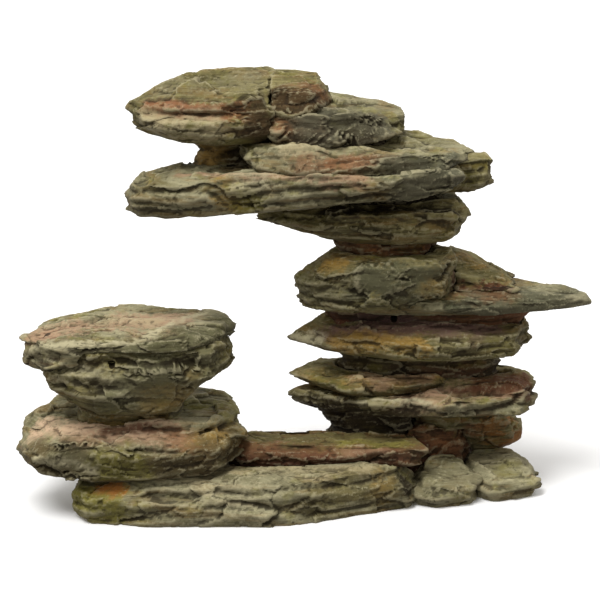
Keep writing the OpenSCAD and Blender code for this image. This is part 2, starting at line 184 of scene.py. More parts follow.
def weathering_tree():
    """Geometry Nodes that split the sides of a stone into flowing layers, and its top into low terraces."""
    tree = bpy.data.node_groups.new("slate_weathering", "GeometryNodeTree")
    face = tree.interface
    face.new_socket("Stone", in_out="INPUT", socket_type="NodeSocketGeometry")
    for name, value in (("Layer thickness", 8.0), ("Layer length", 60.0), ("Step depth", 0.8),
                        ("Terrace height", 1.2), ("Lump", 1.0), ("Dip", 0.0), ("Grime", 0.8), ("Seed", 1.0)):
        face.new_socket(name, in_out="INPUT", socket_type="NodeSocketFloat").default_value = value
    face.new_socket("Neighbours", in_out="INPUT", socket_type="NodeSocketObject")
    face.new_socket("Paint", in_out="INPUT", socket_type="NodeSocketMaterial")
    face.new_socket("Stone", in_out="OUTPUT", socket_type="NodeSocketGeometry")
    entry = tree.nodes.new("NodeGroupInput")
    given = {s.name: Wire(tree, s) for s in entry.outputs if s.name}
    start = Wire(tree)

    def vector(x=0.0, y=0.0, z=0.0):
        return start.node("ShaderNodeCombineXYZ", {}, {0: x, 1: y, 2: z})

    def blurred(value, reach):
        return start.node("GeometryNodeBlurAttribute", {"data_type": "FLOAT_VECTOR"},
                          {"Value": value, "Iterations": reach})

    at = start.node("GeometryNodeInputPosition") * 1000.0
    facing = start.node("ShaderNodeVectorMath", {"operation": "NORMALIZE"},
                        {0: blurred(start.node("GeometryNodeInputNormal"), 9)})
    level = facing * (1.0, 1.0, 0.0)
    steepness = start.node("ShaderNodeVectorMath", {"operation": "LENGTH"}, {0: level}, 1)
    side = steepness.ramp(0.2, 0.75)
    seed = vector(given["Seed"] * 37.1, given["Seed"] * 11.7, given["Seed"] * 5.3)

    # Beds: the layering bends, dips to one side, and has slightly ragged ends.
    bend = ((at / 70.0 + seed).noise(1.0, output=1) - 0.5) * (24.0, 24.0, 15.0)
    rag = ((at / 6.0 + seed).noise(3.0, 0.6, output=1) - 0.5) * (4.0, 4.0, 1.1)
    beds = at + bend + rag - vector(z=at.part(0) * given["Dip"])

    def steps(spread, count, shift):
        """Plates one over another: the level lines of a field that is stretched along the layers."""
        field = (start.node("ShaderNodeVectorMath", {"operation": "DIVIDE"}, {0: beds, 1: spread})
                 + seed + shift).noise(1.5, 0.5) * count
        tread = field.node("ShaderNodeMath", {"operation": "FLOOR"}, {0: field})
        return tread + (field - tread).ramp(0.35, 1.0) - count * 0.5

    long, thick = given["Layer length"], given["Layer thickness"]

    def chips(spread, shift):
        """Flat faces at random tilts, each in its own cell, as where a flake has come off."""
        where = start.node("ShaderNodeVectorMath", {"operation": "DIVIDE"}, {0: beds, 1: spread}) + seed + shift
        cell = start.node("ShaderNodeTexVoronoi", {}, {"Vector": where, "Scale": 1.0}, "Position")
        lean = start.node("ShaderNodeTexVoronoi", {}, {"Vector": where, "Scale": 1.0}, "Color") - 0.5
        return start.node("ShaderNodeVectorMath", {"operation": "DOT_PRODUCT"}, {0: where - cell, 1: lean}, 1)

    plates = steps(vector(long, long * 0.7, thick), 14.0, 0.0)
    leaves = steps(vector(long * 0.5, long * 0.4, thick * 0.4), 9.0, 8.3)
    boulder = (at / 38.0 + seed).noise(1.0, 0.5) - 0.5
    lumps = (at / 13.0 + seed).noise(3.0, 0.5) - 0.5
    knobs = (at / 7.0 + seed).noise(2.0, 0.5) - 0.5
    grit = (at / 2.6 + seed).noise(3.0, 0.6) - 0.5
    push = plates * given["Step depth"] + leaves * given["Step depth"] * 0.4
    flakes = chips(vector(30.0, 30.0, 11.0), 2.9) * 7.5 + chips(vector(12.0, 12.0, 5.0), 6.1) * 2.6
    push = push + (boulder * 6.0 + lumps * 2.2 + knobs * 1.0 + flakes) * given["Lump"] + grit * 0.7

    # Terraces: on the top and the underside, the same plates show as low steps with curved edges.
    wide = steps(vector(46.0, 24.0, 40.0), 12.0, 3.7)
    small = steps(vector(17.0, 8.0, 20.0), 8.0, 9.1)
    rise = wide * given["Terrace height"] + small * given["Terrace height"] * 0.42
    scabs = chips(vector(30.0, 18.0, 30.0), 4.4) * 5.0 + chips(vector(11.0, 6.0, 12.0), 1.7) * 1.6
    rise = rise + (boulder * 6.0 + lumps * 1.8 + knobs * 0.7 + scabs) * given["Lump"] + grit * 0.5

    flat = 1.0 - side
    top = facing.part(2).ramp(-0.1, 0.1)
    upright = top * rise * 0.8 - (1.0 - top) * (rise * 0.35 - 1.2)
    split = start.node("GeometryNodeInputNamedAttribute", {"data_type": "FLOAT"}, {"Name": "split"})
    offset = (level * (side * push) + vector(z=flat * upright)) * (1.0 - split * 0.6)
    stone = start.node("GeometryNodeSetPosition", {}, {"Geometry": given["Stone"], "Offset": offset * MM})

    # Where the paint goes: how far a point stands proud in mm of a near (edge) and a far (hollow) neighbourhood,
    # how much it faces down (painted shade under overhangs), and how near it is to the next stone (painted shade in
    # the seams).
    now = start.node("GeometryNodeInputPosition")
    out = blurred(start.node("GeometryNodeInputNormal"), 4)
    marks = {}
    for name, reach in (("edge", 5), ("hollow", 34)):
        marks[name] = start.node("ShaderNodeVectorMath", {"operation": "DOT_PRODUCT"},
                                 {0: now - blurred(now, reach), 1: out}, 1) * 1000.0
    # Painted shade: the more a point faces down, the darker its paint, standing in for the shade under overhangs.
    marks["under"] = (out.part(2) * -1.0).ramp(-0.85, 0.1)
    # Painted shade: points within a few mm of another stone are marked for darkening, standing in for the shade in
    # the seams.
    others = start.node("GeometryNodeObjectInfo", {}, {"Object": given["Neighbours"]}, "Geometry")
    gap = start.node("GeometryNodeProximity", {}, {"Target": others}, "Distance") * 1000.0
    marks["seam"] = (1.0 - gap.ramp(0.3, 4.5)) * given["Grime"]
    marks["plate"] = (plates * 0.12 + leaves * 0.1) * side + (wide * 0.15 + small * 0.1) * flat
    for name, value in marks.items():
        stone = start.node("GeometryNodeStoreNamedAttribute", {"data_type": "FLOAT", "domain": "POINT"},
                           {"Geometry": stone, "Name": name, "Value": value})
    stone = start.node("GeometryNodeRealizeInstances", {}, {"Geometry": stone})
    stone = start.node("GeometryNodeSetMaterial", {}, {"Geometry": stone, "Material": given["Paint"]})
    done = tree.nodes.new("NodeGroupOutput")
    tree.links.new(stone.socket, done.inputs[0])
    return tree


WEATHERING = weathering_tree()


def use_up_modifiers(thing):
    """Makes the evaluated mesh of an object its own, without its modifiers."""
    mesh = bpy.data.meshes.new_from_object(thing.evaluated_get(bpy.context.evaluated_depsgraph_get()))
    thing.modifiers.clear()
    thing.data = mesh


def rough_stone(node, rounding):
    """A stone's blank: the casting's solid, merged, cut into small even squares and rubbed round."""
    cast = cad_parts[node].data.copy()
    work = bmesh.new()
    work.from_mesh(cast)
    bmesh.ops.remove_doubles(work, verts=work.verts, dist=1e-6)
    work.to_mesh(cast)
    work.free()
    stone = bpy.data.objects.new(node + "_slate", cast)
    bpy.context.scene.collection.objects.link(stone)
    squares = stone.modifiers.new("squares", "REMESH")
    squares.mode = "VOXEL"
    squares.voxel_size = GRAIN * MM
    rub = stone.modifiers.new("rub", "SMOOTH")
    rub.factor = 0.5
    rub.iterations = rounding
    use_up_modifiers(stone)
    return stone


def numbers(mesh, what):
    """The places or normals of a mesh's points, one row each."""
    flat = np.empty(len(mesh.vertices) * 3, np.float32)
    mesh.vertices.foreach_get(what, flat)
    return flat.reshape(-1, 3).astype(np.float64)


def set_places(mesh, where_mm):
    mesh.vertices.foreach_set("co", (where_mm * MM).astype(np.float32).ravel())
    mesh.update()


def ripple(where, size, seed):
    """Smooth noise between -1 and 1, with lumps about size mm across."""
    turns = np.random.default_rng(seed).uniform(0, 2 * np.pi, (5, 3))
    total = np.zeros(len(where))
    for i, (a, b, c) in enumerate(turns):
        way = np.array([np.cos(a) * np.cos(b), np.sin(a) * np.cos(b), np.sin(b)])
        bent = 1.7 * np.sin(where @ way[::-1] / size * 3)
        total += np.sin(where @ way * (2 * np.pi / size) * (0.7 + 0.25 * i) + c + bent)
    return total / 3.2


def distance_to(where, path):
    """How far points are from a line of straight pieces."""
    best = np.full(len(where), 1e9)
    for a, b in zip(path, path[1:] if len(path) > 1 else path):
        along = b - a
        share = np.clip((where - a) @ along / max(along @ along, 1e-9), 0, 1)
        best = np.minimum(best, np.linalg.norm(where - a - share[:, None] * along, axis=1))
    return best


def nearness(where, node, path, width, seed, ragged=0.3):
    """1 on a path given in parts of the casting's box, falling to 0 about a width away with a ragged edge."""
    low, high = (np.array(corner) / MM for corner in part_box(node))
    line = low + np.array(path) * (high - low)
    near = np.all((where > line.min(0) - 2.2 * width) & (where < line.max(0) + 2.2 * width), axis=1)
    amount = np.zeros(len(where))
    spot = where[near]
    away = distance_to(spot, line) / width
    away += ragged * (0.6 * ripple(spot, max(width * 1.6, 5), seed) + 0.4 * ripple(spot, 4, seed + 7))
    amount[near] = np.exp(-np.maximum(away, 0) ** 3)
    return amount


def calm_normals(mesh, rounds):
    """The normals of a mesh's points, each averaged with its neighbours' a number of times."""
    out = numbers(mesh, "normal")
    ends = np.empty(len(mesh.edges) * 2, np.int32)
    mesh.edges.foreach_get("vertices", ends)
    a, b = ends.reshape(-1, 2).T
    for _ in range(rounds):
        total = out.copy()
        for axis in range(3):
            total[:, axis] += np.bincount(a, out[b, axis], len(out)) + np.bincount(b, out[a, axis], len(out))
        out = total / np.maximum(np.linalg.norm(total, axis=1, keepdims=True), 1e-9)
    return out


def cleave(where, node, cuts, seed):
    """Knocks flat faces off the rim of a stone, as a hammer does: a number of cuts of up to a depth in mm."""
    count, depth = cuts
    low, high = (np.array(corner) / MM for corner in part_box(node))
    chance = np.random.default_rng(seed)
    for _ in range(count):
        turn, lean = chance.uniform(0, 2 * np.pi), chance.uniform(-0.9, 0.9)
        way = np.array([np.cos(turn) * np.cos(lean), np.sin(turn) * np.cos(lean), np.sin(lean)])
        reach = where @ way
        over = np.maximum(reach - (reach.max() - chance.uniform(0.4, 1) * depth), 0)
        where = where - over[:, None] * way * 0.9
    return where


def shape_stone(stone, node, seed, cuts, chips, swell, flats):
    """Cleaves a blank, fills it out, then presses in grooves and hollows, raises lips, where the depth is negative,
    and splits off flat faces, each a point, the way that it faces and its radius in mm."""
    where = cleave(numbers(stone.data, "co") / MM, node, chips, seed)
    set_places(stone.data, where)
    out = calm_normals(stone.data, 6)
    push = np.full(len(where), float(swell))
    for i, (path, width, depth) in enumerate(cuts):
        push -= depth * GROOVE_KEPT * nearness(where, node, path, width, seed * 31 + i)
    where = where + out * push[:, None] * (1, 1, 0.6)
    low, high = (np.array(corner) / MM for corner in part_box(node))
    split = np.zeros(len(where))
    for i, (spot, way, radius) in enumerate(flats):
        way = np.array(way) / np.linalg.norm(way)
        above = (where - (low + np.array(spot) * (high - low))) @ way
        amount = 1.6 * nearness(where, node, [spot], radius, seed * 43 + i, FLAT_RAGGED)
        amount *= np.abs(above) < FLAT_REACH
        where = where - (above * np.minimum(amount, 0.95))[:, None] * way
        split = np.maximum(split, np.minimum(amount, 1))
    set_places(stone.data, where)
    layer = stone.data.attributes.new("split", "FLOAT", "POINT")
    layer.data.foreach_set("value", split.astype(np.float32))


def weather(stone, node, paint, seed, sizes):
    """Splits a shaped blank into slate layers and marks where its paint and its painted shade go."""
    low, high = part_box(node)
    corners, faces = [], []
    for name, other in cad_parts.items():
        a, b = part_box(name)
        if name != node and all(a[i] < high[i] + 0.01 and b[i] > low[i] - 0.01 for i in range(3)):
            faces += [[i + len(corners) for i in p.vertices] for p in other.data.polygons]
            corners += [v.co.copy() for v in other.data.vertices]
    around = bpy.data.meshes.new("neighbours")
    around.from_pydata(corners, [], faces)
    neighbours = bpy.data.objects.new("neighbours", around)
    bpy.context.scene.collection.objects.link(neighbours)
    layers = stone.modifiers.new("slate", "NODES")
    layers.node_group = WEATHERING
    names = {s.name: s.identifier for s in WEATHERING.interface.items_tree if s.in_out == "INPUT"}
    layers[names["Seed"]] = float(seed)
    layers[names["Paint"]] = paint
    layers[names["Neighbours"]] = neighbours
    for key, value in sizes.items():
        layers[names[key.replace("_", " ").capitalize()]] = float(value)
    use_up_modifiers(stone)
    bpy.data.objects.remove(neighbours)


# Paints, as (red, green, blue) of the dried wash; BLACK and near-black patches also serve as painted shade in
# recesses and gaps.
PINK = (0.4, 0.25, 0.155)
RUST = (0.24, 0.1, 0.04)
WINE = (0.1, 0.032, 0.016)
ORANGE = (0.4, 0.15, 0.03)
OCHRE = (0.33, 0.2, 0.045)
SAND = (0.42, 0.35, 0.2)
MOSS = (0.21, 0.19, 0.035)
PALE = (0.5, 0.45, 0.28)
GREY = (0.19, 0.18, 0.105)
OLIVE = (0.13, 0.115, 0.042)
BLACK = (0.014, 0.009, 0.004)


def wash_and_painted_light(stone, node, patches, seed):
    """Brushes on the thin colours and the painted light and shade, such as black in recesses and gaps: each patch
    is a path, a width in mm, a paint and its strength.
    """
    where = numbers(stone.data, "co") / MM
    colour = np.zeros((len(where), 4))
    for i, (path, width, paint, strength) in enumerate(patches):
        amount = nearness(where, node, path, width, seed * 57 + i, 0.6)[:, None] * strength
        colour[:, :3] = colour[:, :3] * (1 - amount) + np.array(paint) * amount
        colour[:, 3:] = colour[:, 3:] * (1 - amount) + amount
    colour[:, :3] /= np.maximum(colour[:, 3:], 1e-4)
    layer = stone.data.attributes.new("wash_and_painted_light", "FLOAT_COLOR", "POINT")
    layer.data.foreach_set("color", colour.astype(np.float32).ravel())


def slate_paint(name, body, shade, light, tint):
    """Painted slate-look resin: a mottled body colour, dark wash in the layers and pale dry-brushed edges, with
    painted shade in the hollows, under overhangs and along the seams.
    """
    material = bpy.data.materials.new(name)
    material.use_nodes = True
    tree = material.node_tree
    shader = tree.nodes["Principled BSDF"]
    start = Wire(tree)
    at = start.node("ShaderNodeTexCoord", {}, {}, 3) * 1000.0
    edge, hollow, under, seam, plate = (
        start.node("ShaderNodeAttribute", {"attribute_name": n}, {}, 2)
        for n in ("edge", "hollow", "under", "seam", "plate"))
    wash_and_painted_light_colour = start.node("ShaderNodeAttribute", {"attribute_name": "wash_and_painted_light"}, {}, 0)
    wash_and_painted_light_amount = start.node("ShaderNodeAttribute", {"attribute_name": "wash_and_painted_light"}, {}, 3)

    broad = (at / 26.0).noise(3.0, 0.6)
    streaks = (at / (26.0, 26.0, 3.2) + 4.0).noise(3.0, 0.6)
    lines = (at / (16.0, 16.0, 0.9)).noise(3.0, 0.6)
    grainy = (at / 2.0).noise(4.0, 0.65)
    speck = (at / 0.75).noise(2.0, 0.6)

    tone = mixed(broad.ramp(0.36, 0.64), body, shade)
    tone = mixed(streaks.ramp(0.46, 0.66) * 0.65, tone, tint)
    tone = mixed(((at / 15.0 + 9.0).noise(3.0, 0.6)).ramp(0.52, 0.66) * 0.4, tone, MOSS)
    tone = mixed((plate + (grainy - 0.5) * 0.8).ramp(0.0, 0.7) * 0.4, tone, light)
    tone = mixed(lines.ramp(0.5, 0.72) * 0.3, tone, light)
    # Where the patches cover, their colours, painted light and shade among them, are laid over the tone.
    wash_and_painted_light_cover = (wash_and_painted_light_amount + (grainy - 0.5) * 1.0 + (streaks - 0.5) * 1.2).ramp(0.1, 0.95)
    tone = mixed(wash_and_painted_light_cover * 0.92 * wash_and_painted_light_amount.ramp(0.0, 0.25), tone, wash_and_painted_light_colour)
    tone = mixed(lines.ramp(0.46, 0.34) * 0.3, tone, BLACK)
    tone = mixed(grainy.ramp(0.43, 0.3) * 0.4, tone, BLACK)
    tone = mixed(grainy.ramp(0.55, 0.7) * 0.3, tone, light)
    # Dark wash in the far hollows, which also stands in as painted shade there.
    deep = (hollow * -1.0 + (grainy - 0.5) * 0.8).ramp(0.1, 1.9)
    tone = mixed(deep * 0.55, tone, BLACK)
    crack = (edge * -1.0 + (speck - 0.5) * 0.1).ramp(0.05, 0.32)
    tone = mixed(crack * 0.5, tone, BLACK)
    rim = (edge + (speck - 0.5) * 0.6 + (grainy - 0.5) * 0.5).ramp(0.12, 0.5)
    tone = mixed(rim * 0.36, tone, PALE)
    # Painted shade: faces that point down, and the seams next to other stones, are darkened.
    tone = mixed(under * 0.6, tone, BLACK)
    tone = mixed((seam + (grainy - 0.5) * 0.5).ramp(0.2, 1.0) * 0.4, tone, BLACK)
    tree.links.new(tone.socket, shader.inputs["Base Color"])
    rough = 0.74 + (grainy - 0.5) * 0.4
    tree.links.new(rough.socket, shader.inputs["Roughness"])
    shader.inputs["Specular IOR Level"].default_value = 0.14
    height = grainy * 0.55 + lines * 0.3 + speck * 0.25
    bump = start.node("ShaderNodeBump", {}, {"Strength": 0.8, "Distance": 0.0012, "Height": height})
    tree.links.new(bump.socket, shader.inputs["Normal"])
    return material


OLIVE_SLATE = slate_paint("olive_slate_paint", (0.24, 0.205, 0.085), (0.1, 0.085, 0.03), (0.4, 0.36, 0.2),
                          (0.2, 0.12, 0.035))
GREY_SLATE = slate_paint("grey_slate_paint", (0.3, 0.275, 0.16), (0.14, 0.125, 0.062), (0.48, 0.44, 0.28),
                         (0.24, 0.16, 0.06))
RED_SLATE = slate_paint("red_slate_paint", (0.22, 0.105, 0.045), (0.11, 0.05, 0.02), (0.3, 0.18, 0.085),
                        (0.17, 0.055, 0.025))
# A darker copy of the slate paint for the recessed beds and the lower neck: their dark paint, which also stands in
# as painted shade on them.
SHADED_DARK_SLATE = slate_paint("shaded_dark_slate_paint", (0.11, 0.085, 0.034), (0.045, 0.03, 0.011), (0.18, 0.15, 0.075),
                         (0.1, 0.045, 0.018))


VENT_DEPTH = 6        # mm


def drill(stone, x, z, width):
    """A round blind vent hole in the front face, on a finer patch of mesh, with painted shade inside."""
    work = bmesh.new()
    work.from_mesh(stone.data)
    work.normal_update()

    def off_axis(point):
        return math.hypot(point.co.x / MM - x, point.co.z / MM - z)

    near = [v for v in work.verts if off_axis(v) < width and v.normal.y < 0]
    back = min(v.co.y for v in near) + VENT_DEPTH * MM
    near = {v for v in near if v.co.y < back}
    bmesh.ops.subdivide_edges(work, edges=[e for e in work.edges if e.verts[0] in near and e.verts[1] in near],
                              cuts=2, use_grid_fill=True)
    work.normal_update()
    hole = [v for v in work.verts if off_axis(v) < width * 0.56 and v.normal.y < 0.3 and v.co.y < back]
    marks = {name: work.verts.layers.float[name] for name in ("edge", "hollow", "under", "seam")}
    for point in hole:
        away = off_axis(point)
        if away > width * 0.42:
            scale = width * 0.5 / away
            point.co.x = (x + (point.co.x / MM - x) * scale) * MM
            point.co.z = (z + (point.co.z / MM - z) * scale) * MM
        else:
            point.co.y += VENT_DEPTH * MM
        # The hole's inside is marked as a deep hollow, facing down and at a seam, so that its paint darkens as
        # painted shade in the hole.
        for name, value in (("edge", -1), ("hollow", -9), ("under", 1), ("seam", 1)):
            point[marks[name]] = value
    work.to_mesh(stone.data)
    work.free()


def make_stone(node, paint, slot, seed, cuts=(), patches=(), chips=(9, 3.5), rounding=5, swell=0.8, flats=(),
               vent=None, **sizes):
    """One finished stone in place of its casting's solid."""
    stone = rough_stone(node, rounding)
    shape_stone(stone, node, seed, cuts, chips, swell, flats)
    weather(stone, node, paint, seed, sizes)
    where = numbers(stone.data, "co") / MM
    low, high = (np.array(corner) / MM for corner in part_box(node))
    past = np.maximum(where - high - PAST_CAST, 0) + np.minimum(where - low + PAST_CAST, 0)
    where -= PRESSED_BACK * past
    where[:, 2] = np.maximum(where[:, 2], 0)
    set_places(stone.data, where)
    if vent:
        drill(stone, *vent)
    wash_and_painted_light(stone, node, patches, seed)
    for face in stone.data.polygons:
        face.use_smooth = True
    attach(stone, "root")
    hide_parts(node)
    return stone


make_stone("front_slab", GREY_SLATE, "olive_resin", 1, dip=0.02, lump=0.8, cuts=[
    ([(0.23, 0.08, 0.67), (0.27, 0.06, 0.6), (0.36, 0.04, 0.56)], 3.4, 7),
    ([(0.22, 0.12, 0.8), (0.34, 0.1, 0.8), (0.48, 0.12, 0.84)], 2.6, -2.2),
    ([(0.38, 0.18, 0.82), (0.42, 0.16, 0.78), (0.45, 0.15, 0.8)], 1.3, 2),
    ([(0.42, 0.08, 0.69), (0.5, 0.03, 0.6), (0.63, 0.11, 0.66), (0.78, 0.26, 0.64)], 1.8, 1.8),
    ([(0.3, 0.03, 0.38), (0.5, 0.02, 0.4), (0.7, 0.12, 0.42)], 1.8, 1.8),
    ([(0.03, 0.2, 0.3), (0.16, 0.03, 0.36)], 1.6, 2),
    ([(0.05, 0.11, 0.55)], 2, 2.5), ([(0.06, 0.14, 0.66)], 1.8, 2.5), ([(0.09, 0.07, 0.46)], 1.6, 2),
    ([(0.6, 0.1, 0.35), (0.68, 0.14, 0.55)], 9, -2.5),
    ([(0.74, 0.2, 0.7), (0.86, 0.33, 0.66), (0.93, 0.38, 0.72)], 2, 2.4),
], patches=[
    ([(0.04, 0.15, 0.5), (0.12, 0.08, 0.45)], 14, MOSS, 0.9),
    ([(0.09, 0.17, 0.72), (0.13, 0.15, 0.7)], 6, ORANGE, 0.95),
    ([(0.3, 0.38, 0.95), (0.6, 0.42, 1), (0.85, 0.5, 1)], 16, SAND, 0.6),
    ([(0.4, 0.1, 0.6), (0.52, 0.06, 0.5)], 12, PALE, 0.45),
    ([(0.9, 0.36, 0.4), (0.9, 0.36, 0.6)], 7, OCHRE, 0.95),
    ([(0.1, 0.5, 1), (0.3, 0.6, 1), (0.45, 0.6, 1)], 8, WINE, 0.8),
    ([(0.7, 0.15, 0.3), (0.8, 0.24, 0.5), (0.92, 0.34, 0.6)], 13, (0.13, 0.11, 0.04), 0.7),
    ([(0.97, 0.5, 0.4), (0.97, 0.5, 0.8)], 7, BLACK, 0.9),
])

# ---- Rest of the base ----
# Four smaller castings close the base behind and to the right of the front slab. They are bonded to it and to
# each other, and the heel stone holds the column's rod. Red-brown wash runs along the recess over the slab.
make_stone("rear_slab", RED_SLATE, "rust_resin", 2, cuts=[
    ([(0.1, 0.12, 0.8), (0.31, 0.08, 0.78), (0.52, 0.1, 0.82), (0.55, 0.06, 0.6)], 1.5, 2.2),
    ([(0.2, 0.02, 0.35), (0.5, 0.0, 0.35), (0.85, 0.05, 0.3)], 2, 1.8),
], patches=[
    ([(0.1, 0.6, 1), (0.5, 0.6, 1), (0.95, 0.6, 0.95)], 15, OLIVE, 0.85),
    ([(0.6, 0.3, 0.95), (0.9, 0.4, 0.9)], 6, MOSS, 0.6),
    ([(0.1, 0.02, 0.5), (0.6, 0.01, 0.5), (0.95, 0.05, 0.5)], 9, (0.13, 0.06, 0.028), 0.8),
    ([(0.6, 0.05, 0.7), (0.8, 0.05, 0.65)], 5, PINK, 0.3),
    ([(0, 0.1, 0.1), (0.5, 0.0, 0.1), (1, 0.1, 0.1)], 5, WINE, 0.9),
])
make_stone("heel_stone", RED_SLATE, "rust_resin", 3, chips=(8, 2), swell=1.5, step_depth=0.5, patches=[
    ([(0.5, 0.05, 0.2), (0.6, 0.05, 0.8)], 7, WINE, 0.9),
    ([(0.8, 0.1, 0.7)], 8, RUST, 0.9),
])
make_stone("right_front_stone", GREY_SLATE, "grey_resin", 4, chips=(5, 2), rounding=6, swell=2.6, grime=0.2, cuts=[
    ([(0.05, 0.3, 0.3), (0.35, 0.05, 0.35)], 1.6, 2),
    ([(0.4, 0.3, 0.95), (0.6, 0.25, 0.9)], 5, 2),
], patches=[
    ([(0.3, 0.3, 0.7), (0.8, 0.4, 0.9)], 14, (0.2, 0.18, 0.1), 0.7),
    ([(0, 0.4, 0.2), (0.05, 0.6, 0.9)], 5, BLACK, 0.8),
])
make_stone("right_end_stone", GREY_SLATE, "grey_resin", 5, chips=(5, 2), rounding=6, swell=2.6, grime=0.2, cuts=[
    ([(0.18, 0.48, 0.95), (0.5, 0.46, 0.95)], 1.6, 2.6),
    ([(0.1, 0.2, 0.7), (0.4, 0.12, 0.6), (0.6, 0.2, 0.75)], 2, 2),
], patches=[
    ([(0.2, 0.6, 1), (0.6, 0.6, 1)], 15, (0.2, 0.175, 0.1), 0.8),
    ([(0.6, 0.3, 0.8)], 9, MOSS, 0.4),
])

# ---- Left stack ----
# Two boulders and a cap, each its own casting, on beds that are keyed in between them, round one glass-fibre
# rod. The upper boulder is hollow, and a small vent hole in its front lets it fill with water.
make_stone("left_foot_bed", SHADED_DARK_SLATE, "shade_resin", 6, patches=[
    ([(0, 0.1, 0.5), (1, 0.1, 0.5)], 10, (0.2, 0.075, 0.045), 0.9),
])
make_stone("left_lower_boulder", GREY_SLATE, "grey_resin", 7, dip=0.06, chips=(10, 4), rounding=6,
           swell=1, grime=0.4, flats=[((0.26, 0.03, 0.45), (-0.15, -0.95, 0.1), 11)], cuts=[
    ([(0.31, 0.25, 1), (0.38, 0.23, 1), (0.53, 0.25, 1)], 1.4, 2.4),
    ([(0.36, 0.16, 0.92), (0.45, 0.18, 0.95), (0.57, 0.19, 0.93), (0.7, 0.2, 0.9)], 2.6, 2.8),
    ([(0.42, 0.1, 0.86), (0.58, 0.09, 0.79), (0.72, 0.12, 0.84)], 3.4, -1.2),
    ([(0.11, 0.12, 0.68), (0.22, 0.08, 0.75), (0.37, 0.08, 0.78)], 2.2, 3.2),
    ([(0.2, 0.02, 0.6), (0.34, 0.01, 0.58), (0.42, 0.03, 0.55)], 9, -3.5),
    ([(0.09, 0.12, 0.5), (0.14, 0.06, 0.42), (0.26, 0.02, 0.46), (0.34, 0.02, 0.34), (0.44, 0.05, 0.26)], 2, -1.8),
    ([(0.14, 0.12, 0.3), (0.26, 0.04, 0.32), (0.3, 0.06, 0.16)], 3.6, 5),
    ([(0.5, 0.06, 0.7), (0.67, 0.06, 0.66), (0.84, 0.1, 0.6)], 1.8, 2.4),
    ([(0.5, 0.04, 0.56), (0.68, 0.05, 0.52)], 1.4, 1.6),
    ([(0.82, 0.2, 0.86), (0.95, 0.34, 0.8), (1, 0.4, 0.7)], 2, 2.6),
    ([(0.89, 0.16, 0.7)], 2.6, 3), ([(0.95, 0.28, 0.55)], 2.2, 2.6), ([(0.88, 0.14, 0.5)], 2, 2.2),
    ([(0.03, 0.3, 0.75)], 2.4, 2.4), ([(0.01, 0.4, 0.55)], 2, 2.4),
], patches=[
    # Painted light: a pink lighter than the paint along the top, to brighten where the belly stone shades it.
    ([(0.12, 0.3, 1), (0.35, 0.2, 0.98), (0.6, 0.2, 0.95)], 14, (0.66, 0.46, 0.3), 0.85),
    ([(0.3, 0.14, 0.9), (0.55, 0.12, 0.85), (0.75, 0.15, 0.85)], 6, PINK, 0.8),
    ([(0.4, 0.17, 0.95), (0.57, 0.2, 0.96), (0.7, 0.2, 0.92)], 3.5, WINE, 0.95),
    ([(0.7, 0.14, 0.8), (0.82, 0.12, 0.6)], 8, RUST, 0.6),
    ([(0.85, 0.2, 0.7), (0.97, 0.4, 0.5)], 11, OCHRE, 0.75),
    ([(0.1, 0.15, 0.4), (0.45, 0.02, 0.45), (0.7, 0.05, 0.4), (0.95, 0.25, 0.5)], 15, (0.085, 0.062, 0.023), 0.85),
    ([(0.2, 0.02, 0.6), (0.35, 0.0, 0.6)], 8, (0.13, 0.12, 0.06), 0.8),
    ([(0.42, 0.02, 0.42), (0.52, 0.02, 0.35)], 10, MOSS, 0.9),
    ([(0.5, 0.6, 1), (0.9, 0.6, 1)], 13, MOSS, 0.6),
    ([(0.1, 0.1, 0.48), (0.26, 0.02, 0.48), (0.36, 0.02, 0.34)], 2.4, PALE, 0.8),
])
make_stone("left_neck", OLIVE_SLATE, "moss_resin", 8, swell=3, lump=0.6, grime=0.4, patches=[
    ([(0.2, 0.05, 0.4), (0.8, 0.05, 0.4)], 10, OCHRE, 0.5),
])
make_stone("left_belly_stone", OLIVE_SLATE, "olive_resin", 9, dip=-0.05, chips=(8, 3), rounding=4,
           swell=1.2, grime=0.15, vent=(-106, 88, 3.2), flats=[
    ((0.62, 0.05, 0.55), (0.15, -0.93, -0.34), 14)], cuts=[
    ([(0.48, 0.04, 0.86), (0.7, 0.06, 0.86), (0.92, 0.18, 0.86)], 9, -1.6),
    ([(0.04, 0.2, 0.78), (0.14, 0.08, 0.8), (0.3, 0.05, 0.84), (0.42, 0.08, 0.9)], 4, 4.5),
    ([(0.1, 0.14, 0.63), (0.2, 0.08, 0.66), (0.32, 0.05, 0.68), (0.38, 0.05, 0.6)], 3, -2.6),
    ([(0.19, 0.06, 0.56)], 2.2, 3), ([(0.29, 0.02, 0.6)], 2.2, 3), ([(0.12, 0.12, 0.5)], 1.8, 2.4),
    ([(0.14, 0.12, 0.4), (0.3, 0.06, 0.36)], 2, 2.4),
    ([(0.88, 0.17, 0.7), (0.99, 0.3, 0.66)], 2.6, 3.6),
    ([(0.76, 0.1, 0.5), (0.9, 0.3, 0.46)], 2.2, 2.8),
    ([(0.5, 0.04, 0.5), (0.62, 0.06, 0.62), (0.7, 0.1, 0.8)], 8, -2.5),
    ([(0.38, 0.06, 0.84)], 4, -2),
], patches=[
    ([(0.1, 0.14, 0.62), (0.3, 0.05, 0.68), (0.4, 0.05, 0.5)], 7, PALE, 0.55),
    ([(0.03, 0.2, 0.8), (0.3, 0.05, 0.86)], 5, BLACK, 0.6),
    ([(0.5, 0.04, 0.5), (0.62, 0.06, 0.7), (0.85, 0.15, 0.85)], 22, (0.12, 0.115, 0.06), 0.85),
    ([(0.75, 0.2, 0.4), (0.6, 0.1, 0.2)], 10, OCHRE, 0.4),
])
